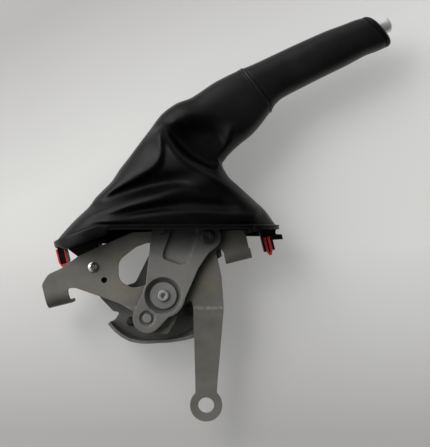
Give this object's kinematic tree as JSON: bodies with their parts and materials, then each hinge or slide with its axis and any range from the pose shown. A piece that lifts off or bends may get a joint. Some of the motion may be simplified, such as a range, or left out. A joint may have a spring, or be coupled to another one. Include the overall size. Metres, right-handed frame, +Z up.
{
  "type": "parking brake lever",
  "caption": "Hand parking brake lever: stamped floor bracket with ratchet and pawl, bent lever, leather grip with push button, leather boot on a clip-in frame, and a cranked stay.",
  "frame": {"origin": "on the floor plane under the rear foot, in the lever's middle plane", "axes": "+X forward along the vehicle to the button, +Y to the left, +Z up from the floor"},
  "size_m": [0.3594, 0.074, 0.3197],
  "materials": {
    "steel": "satin zinc",
    "black_steel": "black oxide",
    "satin_metal": "satin",
    "natural_plastic": "matte",
    "rubber": "matte",
    "black_plastic": "fine grain",
    "leather": "fine grain, soft sheen",
    "red_plastic": "semi gloss",
    "brass": "tinned"
  },
  "bodies": {
    "base": {"base_bracket": "steel", "stay_leg": "steel", "ratchet_sector": "steel", "sector_rivets": "steel", "pivot_pin": "steel", "pivot_washer": "steel", "pivot_sleeve": "steel", "pivot_lock_ring": "steel", "boot": "leather", "boot_ring": "black_plastic", "clip_rear": "red_plastic", "clip_front": "red_plastic", "switch_body": "black_plastic", "switch_screw": "steel", "switch_terminal": "brass"},
    "lever": {"lever_plate_right": "steel", "lever_plate_left": "steel", "lever_arm": "steel", "cross_pin": "steel", "bump_stops": "rubber", "pawl_pin": "black_steel", "pawl_spacers": "steel", "rod_guide": "natural_plastic", "button_spring": "steel", "grip_core": "black_plastic", "grip_cover": "leather", "grip_end_cap": "black_plastic", "collar_ring": "black_plastic"},
    "release": {"release_button": "satin_metal", "release_rod": "steel"},
    "pawl": {"pawl": "steel"},
    "plunger": {"switch_plunger": "natural_plastic"}
  },
  "joints": [
    {"name": "lever_pivot", "type": "hinge", "parent": "base", "child": "lever", "pos_m": [0.0936, 0, -0.0128], "axis": [0, -1, 0], "range_deg": [0, 38], "deforming": ["boot"]},
    {"name": "button_slide", "type": "slide", "parent": "lever", "child": "release", "axis": [-0.9806, 0, -0.1959], "range_m": [-0.00165, 0.005], "stiffness_N_per_m": 500, "springref_m": -0.006, "deforming": ["button_spring"]},
    {"name": "pawl_pivot", "type": "hinge", "parent": "lever", "child": "pawl", "pos_m": [0.1439, 0, 0.0283], "axis": [0, -1, 0], "range_deg": [-5.4, 16.2]},
    {"name": "plunger_slide", "type": "slide", "parent": "base", "child": "plunger", "axis": [0, 0, -1], "range_m": [0, 0.0041]}
  ],
  "couplings": [
    {"joint": "pawl_pivot", "follows": "button_slide", "rad_per_m": 56.2},
    {"joint": "plunger_slide", "follows": "lever_pivot", "m_per_rad": 0.006}
  ]
}
